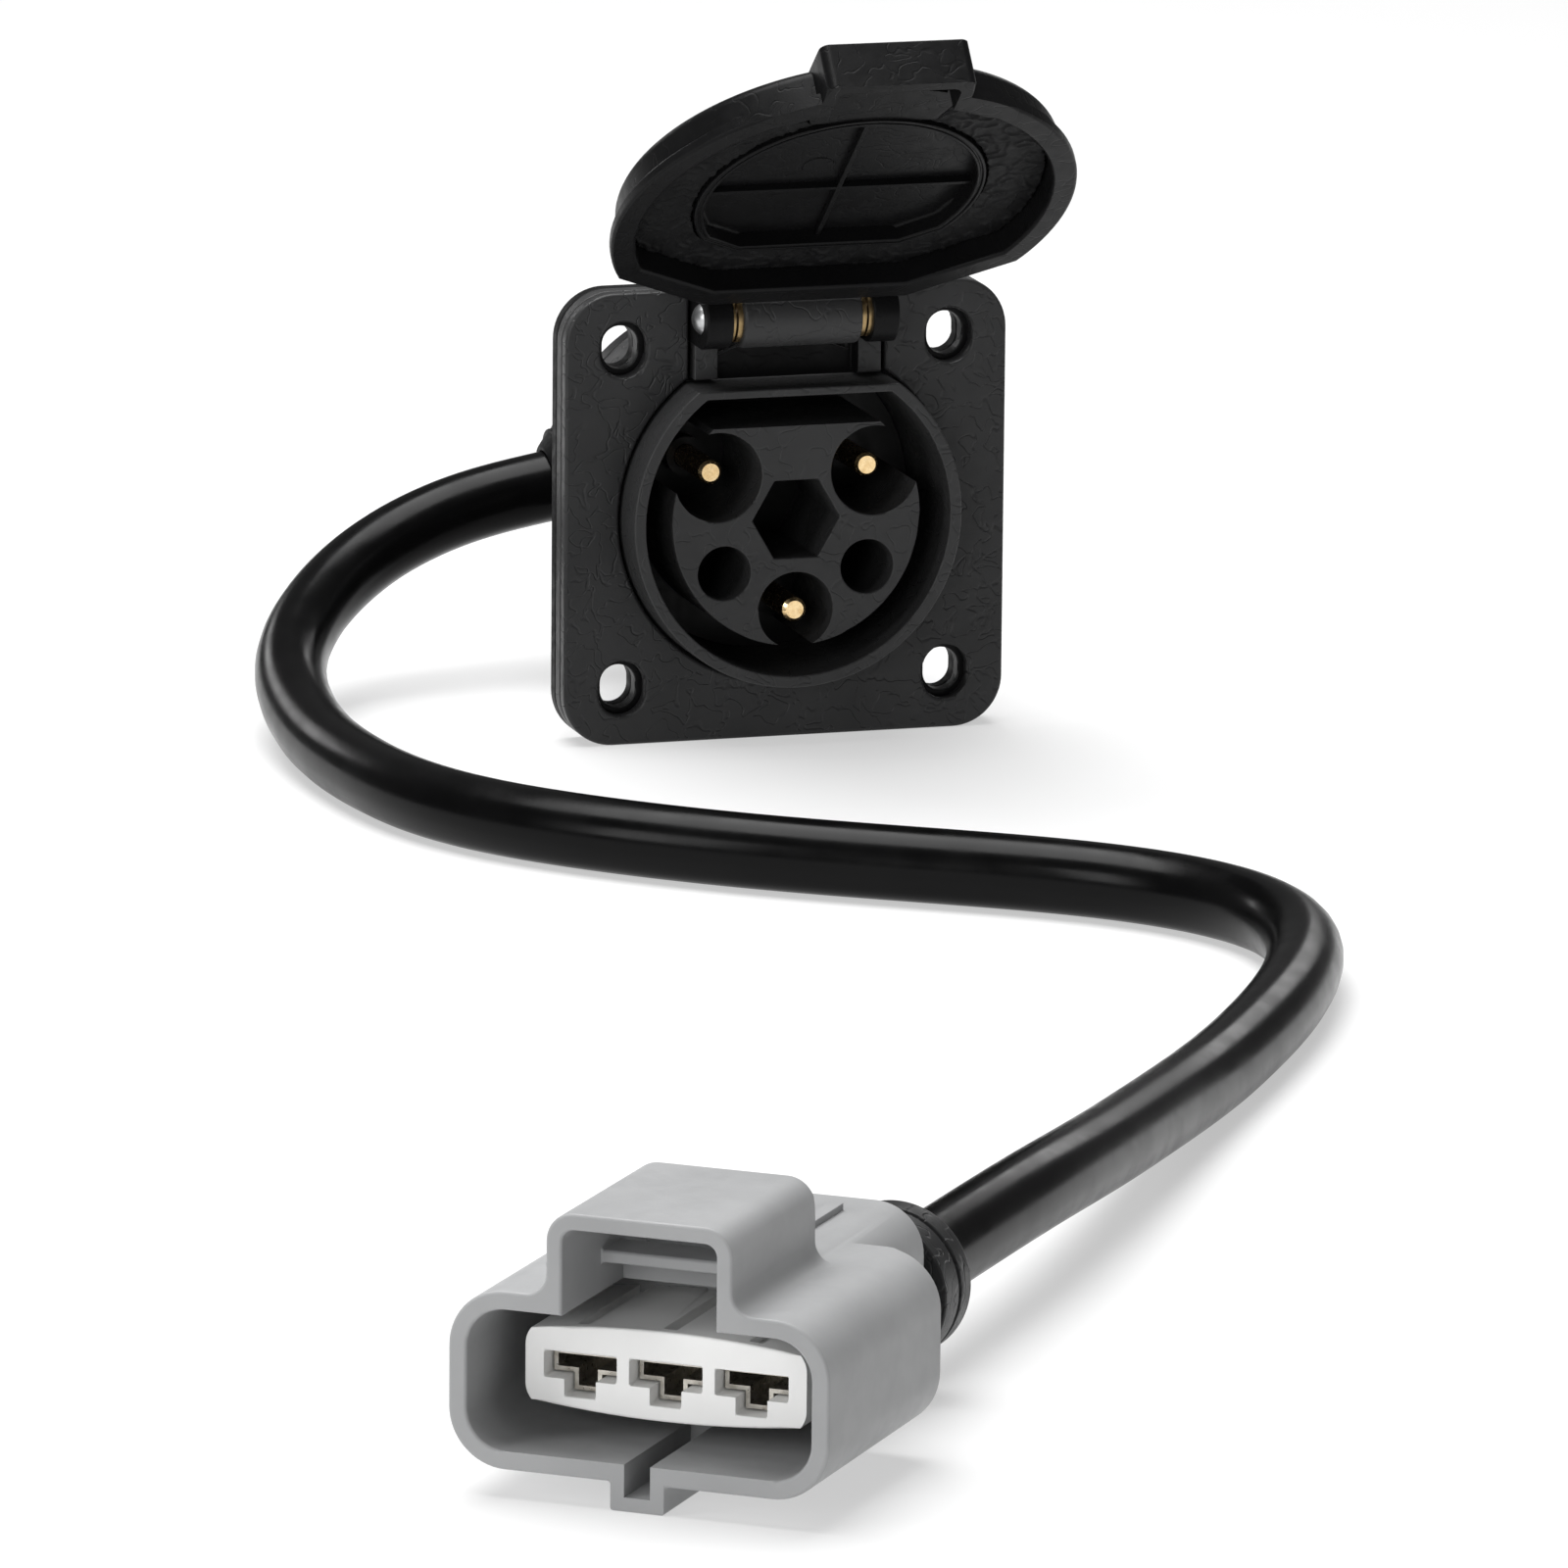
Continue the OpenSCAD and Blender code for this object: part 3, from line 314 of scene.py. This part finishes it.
def contact_brass():
    f = Finish("contact_brass").set(Metallic=1.0)
    f.tones(f.noise(scale=900, detail=3), dark=(0.78, 0.55, 0.27), light=(0.90, 0.68, 0.38))
    f.roughness(f.noise(scale=1600, detail=3), low=0.16, high=0.28)
    f.relief(f.noise(scale=4200, detail=2), depth=0.00001, strength=0.15)
    return f.material


# The hinge's bushes and washers: the same brass, rougher, with its colour darkened as painted shade of the
# narrow gaps they sit in
def shaded_brass():
    f = Finish("shaded_brass").set(Metallic=1.0)
    f.tones(f.noise(scale=900, detail=3), dark=(0.30, 0.21, 0.10), light=(0.42, 0.30, 0.15))
    f.roughness(f.noise(scale=1600, detail=3), low=0.30, high=0.42)
    f.relief(f.noise(scale=4200, detail=2), depth=0.00001, strength=0.15)
    return f.material


def bright_steel():
    f = Finish("bright_steel").set(Metallic=1.0)
    f.tones(f.noise(scale=700, detail=3), dark=(0.46, 0.465, 0.47), light=(0.56, 0.565, 0.57))
    f.roughness(f.noise(scale=1500, detail=3), low=0.30, high=0.38)
    f.relief(f.noise(scale=3800, detail=2), depth=0.000004, strength=0.10)
    return f.material


def tinned_metal():
    f = Finish("tinned_metal").set(Metallic=1.0)
    f.tones(f.noise(scale=600, detail=4), dark=(0.42, 0.39, 0.34), light=(0.58, 0.56, 0.51))
    f.roughness(f.noise(scale=1400, detail=3), low=0.26, high=0.40)
    f.relief(f.noise(scale=3000, detail=3), depth=0.00002, strength=0.2)
    return f.material


def grey_plastic():
    f = Finish("grey_plastic").set(IOR=1.47, Specular_IOR_Level=0.20)
    f.tones(f.noise(scale=55, detail=4), dark=(0.312, 0.315, 0.319), light=(0.350, 0.353, 0.357))
    f.roughness(f.noise(scale=420, detail=3), low=0.38, high=0.47)
    f.relief(f.noise(scale=2400, detail=4, rough=0.6), depth=0.00004, strength=0.22)
    return f.material


def white_plastic():
    f = Finish("white_plastic").set(IOR=1.47, Specular_IOR_Level=0.45)
    f.tones(f.noise(scale=80, detail=4), dark=(0.88, 0.88, 0.87), light=(0.92, 0.92, 0.91))
    f.roughness(f.noise(scale=480, detail=3), low=0.42, high=0.52)
    f.relief(f.noise(scale=2000, detail=4, rough=0.6), depth=0.00004, strength=0.2)
    return f.material


def copper_core():
    f = Finish("copper_core").set(Metallic=1.0)
    f.tones(f.noise(scale=900, detail=3), dark=(0.66, 0.34, 0.20), light=(0.80, 0.46, 0.29))
    f.roughness(f.noise(scale=1400, detail=3), low=0.28, high=0.42)
    f.relief(f.noise(scale=3000, detail=2), depth=0.00003, strength=0.3)
    return f.material


FINISH = {
    "charcoal_plastic": charcoal_plastic(),
    "shaded_charcoal_plastic": shaded_charcoal_plastic(),
    "block_and_lit_arm_plastic": block_and_lit_arm_plastic(),
    "black_plastic": black_plastic(),
    "seal_rubber": seal_rubber(),
    "cable_sheath": cable_sheath(),
    "contact_brass": contact_brass(),
    "shaded_brass": shaded_brass(),
    "bright_steel": bright_steel(),
    "tinned_metal": tinned_metal(),
    "grey_plastic": grey_plastic(),
    "white_plastic": white_plastic(),
    "copper_core": copper_core(),
}
SLOT = {part["node"]: part["material_slot"] for part in frame["record"]["subparts"]}
BODY = {node: body for body, members in frame["record"]["behaviour"]["bodies"].items() for node in members}


def wear(obj, finish):
    obj.data.materials.clear()
    obj.data.materials.append(FINISH[finish])


def take_place(obj, node):
    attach(obj, BODY[node])
    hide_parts(node)


# Sharp edges that follow on from each other without a corner
def sharp_runs(edges):
    marked = set(edges)
    runs = []
    while marked:
        ahead = [marked.pop()]
        run = []
        while ahead:
            edge = ahead.pop()
            run.append(edge)
            for vert in edge.verts:
                before = vert.co - edge.other_vert(vert).co
                for other in marked.intersection(vert.link_edges):
                    if before.angle(other.other_vert(vert).co - vert.co) < CORNER_ANGLE:
                        marked.discard(other)
                        ahead.append(other)
        runs.append(run)
    return runs


# Points on an edge, each in the middle of its share of the length
def points_along(start, end, length, spacing):
    count = max(1, math.ceil(length / spacing))
    return [start.lerp(end, (k + 0.5) / count) for k in range(count)]


# A tree that finds the numbered places near a point
def tree_of(places):
    tree = kdtree.KDTree(len(places))
    for index, (_, point) in enumerate(places):
        tree.insert(point, index)
    tree.balance()
    return tree


# Each run of sharp edges gets the whole radius, or less where another run lies close beside it
def share_radius(bm, radius):
    weight = bm.edges.layers.float.new("bevel_weight_edge")
    runs = sharp_runs([edge for edge in bm.edges if len(edge.link_faces) == 2
                       and edge.calc_face_angle() > SHARP_ANGLE])
    places = []
    for number, run in enumerate(runs):
        for edge in run:
            start, end = (vert.co for vert in edge.verts)
            places += [(number, point) for point in points_along(start, end, edge.calc_length(), radius)]
    tree = tree_of(places)
    reach = LOOK_REACH * radius
    rooms = [[] for run in runs]
    for number, point in places:
        near = [gap for _, index, gap in tree.find_range(point, reach) if places[index][0] != number]
        rooms[number].append(min(near, default=reach))
    for run, room in zip(runs, rooms):
        narrow = sorted(room)[len(room) // 5]
        share = min(1, GAP_SHARE * narrow / radius)
        for edge in run:
            edge[weight] = max(share, SMALLEST_SHARE)


# A copy of a CAD node's triangles, joined into one skin
def merged_copy(node):
    bm = bmesh.new()
    bm.from_mesh(nodes[node].data)
    for layer in list(bm.loops.layers.uv):
        bm.loops.layers.uv.remove(layer)
    bmesh.ops.remove_doubles(bm, verts=bm.verts, dist=MERGE_DISTANCE)
    return bm


# The piece that shows in place of a CAD node
def finished(bm, node, finish):
    mesh = bpy.data.meshes.new(node + "_finished")
    bm.to_mesh(mesh)
    bm.free()
    if "custom_normal" in mesh.attributes:
        mesh.attributes.remove(mesh.attributes["custom_normal"])
    mesh.shade_smooth()
    obj = bpy.data.objects.new(node + "_finished", mesh)
    collection.objects.link(obj)
    wear(obj, finish or SLOT[node])
    take_place(obj, node)
    return obj


# Places where the rounding strays from the moulded piece or folds over itself
def rounding_faults(obj, surface, radius):
    shown = obj.evaluated_get(bpy.context.evaluated_depsgraph_get()).to_mesh()
    limit = STRAY_LIMIT * radius
    stray = set()
    for vert in shown.vertices:
        if surface.find_nearest(vert.co)[3] > limit:
            stray.add(vert.index)
    bad = set()
    for edge in shown.edges:
        if stray.intersection(edge.vertices):
            bad.update(edge.vertices)
    for face in shown.polygons:
        _, normal, _, gap = surface.find_nearest(face.center)
        if face.area > TINY_AREA and gap < limit and normal.dot(face.normal) < FOLDED_OVER:
            bad.update(face.vertices)
    return [shown.vertices[index].co.copy() for index in bad]


# Edges near a fault are rounded less, and in the last rounds left sharp, until the faults are gone
def ease_faults(obj, node, radius):
    bm = merged_copy(node)
    surface = BVHTree.FromBMesh(bm)
    bm.free()
    mesh = obj.data
    weights = mesh.attributes["bevel_weight_edge"].data
    places = []
    for edge, weight in zip(mesh.edges, weights):
        if weight.value > 0:
            start, end = (mesh.vertices[v].co for v in edge.vertices)
            length = (end - start).length
            places += [(edge.index, point) for point in points_along(start, end, length, radius)]
    tree = tree_of(places)
    for keep in EASING:
        near = set()
        for fault in rounding_faults(obj, surface, radius):
            near.update(places[index][0] for _, index, _ in tree.find_range(fault, FAULT_REACH * radius))
        for index in near:
            weights[index].value *= keep
            mesh.edges[index].use_edge_sharp = keep == 0
        mesh.update()


# A moulded piece with its sharp edges rounded, as a mould leaves them
def rounded(node, radius, finish=None):
    bm = merged_copy(node)
    bmesh.ops.dissolve_limit(bm, angle_limit=FLAT_ANGLE, verts=bm.verts, edges=bm.edges)
    share_radius(bm, radius)
    obj = finished(bm, node, finish)
    soft = obj.modifiers.new("rounded_edges", "BEVEL")
    soft.limit_method = "WEIGHT"
    soft.width = radius
    soft.segments = ROUNDING_SEGMENTS
    soft.profile = 0.5
    soft.use_clamp_overlap = False
    soft.harden_normals = True
    ease_faults(obj, node, radius)
    return obj


# The seal: a fine even mesh whose face sinks between curly ridges
def wrinkled_seal(depth, scale, width):
    obj = finished(merged_copy("lid_seal"), "lid_seal", None)
    even = obj.modifiers.new("even_mesh", "REMESH")
    even.mode = "VOXEL"
    even.voxel_size = SEAL_VOXEL
    shaped = bpy.data.meshes.new_from_object(obj.evaluated_get(bpy.context.evaluated_depsgraph_get()))
    obj.modifiers.clear()
    bm = bmesh.new()
    bm.from_mesh(shaped)
    bpy.data.meshes.remove(shaped)
    bm.normal_update()
    noise.seed_set(SWIRL_SEED)
    moves = []
    for vert in bm.verts:
        place = vert.co * scale
        place += SWIRL * noise.noise_vector(place * SWIRL_SCALE)
        ridge = min(1, abs(noise.noise(place)) / width)
        moves.append(vert.normal * (-depth * ridge * ridge * (3 - 2 * ridge)))
    for vert, move in zip(bm.verts, moves):
        vert.co += move
    bm.to_mesh(obj.data)
    bm.free()
    obj.data.shade_smooth()


# Chosen faces of a piece in another finish
def second_finish(obj, finish, chosen):
    obj.data.materials.append(FINISH[finish])
    for face in obj.data.polygons:
        face.material_index = int(chosen(face))


def near_hinge(face, reach):
    return (face.center - HINGE).yz.length < reach


# The plate's front, which shows only in the notch below the hinge and is painted blacker there as shade
def on_plate(face):
    return face.normal.y < FACING_FRONT and PLATE_DEPTH < face.center.y < 0


rounded("front_bezel", radius=0.0006)
socket = rounded("socket_body", radius=0.0003, finish="block_and_lit_arm_plastic")
# The ears and the plate in the notch get the blacker plastic: painted shade
second_finish(socket, "shaded_charcoal_plastic", lambda face: near_hinge(face, EAR_REACH) or on_plate(face))
rounded("panel_gasket", radius=0.0005)
rounded("contact_block", radius=0.0003, finish="block_and_lit_arm_plastic")
# The lid in the blacker plastic: painted shade on its underside and cavity
lid = rounded("lid", radius=0.0006, finish="shaded_charcoal_plastic")
# The lid's arm in the lighter plastic: painted light on the arm
second_finish(lid, "block_and_lit_arm_plastic", lambda face: near_hinge(face, ARM_REACH))
wrinkled_seal(depth=0.00026, scale=420, width=0.17)
rounded("rear_cover", radius=0.0005)
rounded("cable_bush", radius=0.0004)
rounded("connector_housing", radius=0.0005)
rounded("terminal_holder", radius=0.0004)
rounded("cable_ring", radius=0.0003, finish="charcoal_plastic")

for node, obj in nodes.items():
    wear(obj, SLOT[node])
# Bushes and washers in the darkened brass: painted shade
for node in ("hinge_bush_left", "hinge_bush_right", "friction_washer_left", "friction_washer_right"):
    wear(nodes[node], "shaded_brass")

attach(cable, BODY["cord"])
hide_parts("cord")
wear(cable, "cable_sheath")


# A pale floor that gives off some light of its own, to come out white
def floor():
    mesh = bpy.data.meshes.new("floor")
    bm = bmesh.new()
    bmesh.ops.create_grid(bm, x_segments=1, y_segments=1, size=FLOOR_HALF)
    bmesh.ops.translate(bm, verts=bm.verts, vec=(0, 0, FLOOR_Z))
    bm.to_mesh(mesh)
    bm.free()
    obj = bpy.data.objects.new("floor", mesh)
    collection.objects.link(obj)
    f = Finish("floor_white").set(Specular_IOR_Level=0.1, Emission_Strength=0.5, Emission_Color=WHITE)
    f.tones(f.noise(scale=3, detail=2), dark=(0.40, 0.40, 0.40), light=(0.42, 0.42, 0.42))
    f.roughness(f.noise(scale=20, detail=2), low=0.62, high=0.70)
    mesh.materials.append(f.material)


def lamp(name, place, aim, size, power):
    data = bpy.data.lights.new(name, "AREA")
    data.shape = "RECTANGLE"
    data.size, data.size_y = size
    data.energy = power
    obj = bpy.data.objects.new(name, data)
    collection.objects.link(obj)
    obj.location = place
    obj.rotation_euler = (Vector(aim) - Vector(place)).to_track_quat("-Z", "Y").to_euler()


def set_world():
    world = bpy.data.worlds.new("studio")
    world.use_nodes = True
    background = world.node_tree.nodes["Background"]
    background.inputs["Color"].default_value = WHITE
    background.inputs["Strength"].default_value = WORLD_STRENGTH
    scene.world = world
    scene.view_settings.view_transform = "Standard"
    scene.view_settings.look = "None"


# Soft light from above and the left, and two faint lights behind for the cable
floor()
lamp("light_above", place=(-0.20, 0.05, 1.40), aim=(-0.08, -0.2, 0), size=(1.3, 1.3), power=40)
lamp("light_left", place=(-0.91, -1.44, 0.34), aim=(-0.10, -0.35, 0), size=(0.5, 0.5), power=4.8)
lamp("light_strip", place=(-1.10, -0.50, 0.42), aim=(-0.05, -0.15, 0), size=(0.30, 0.50), power=3)
lamp("light_back_left", place=(-0.50, 1.60, 0.45), aim=(-0.08, 0, 0), size=(0.50, 0.25), power=1.2)
lamp("light_back_right", place=(1.10, 1.55, 0.66), aim=(0, -0.25, 0), size=(0.60, 0.40), power=1.8)
set_world()
